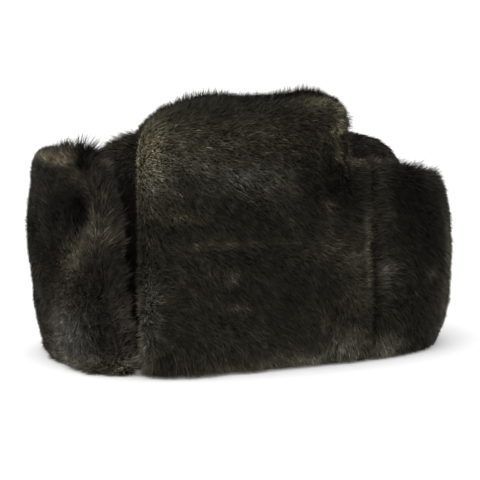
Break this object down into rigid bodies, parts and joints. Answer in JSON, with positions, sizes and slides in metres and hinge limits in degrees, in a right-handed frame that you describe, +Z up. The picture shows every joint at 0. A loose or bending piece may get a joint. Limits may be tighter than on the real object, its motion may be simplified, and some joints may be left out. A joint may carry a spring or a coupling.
{
  "type": "ear flap fur hat",
  "caption": "Black fur ushanka standing on its rim, its padded ear flaps folded up and tied over the crown, with an upright front flap and a lower neck flap.",
  "frame": {"origin": "on the floor under the middle of the hat's box", "axes": "+Z up out of the crown's top, +Y towards the wearer's back, +X towards the wearer's left ear"},
  "size_m": [0.2228, 0.281, 0.1691],
  "materials": {
    "fur": "deep soft fur pile",
    "crown": "short smooth pile",
    "ribbon": "woven ribbon, slightly glossy"
  },
  "bodies": {
    "root": {"crown": "crown", "front_flap": "fur", "left_ear_flap": "fur", "right_ear_flap": "fur", "neck_flap": "fur", "tie_ribbon": "ribbon"}
  },
  "joints": []
}
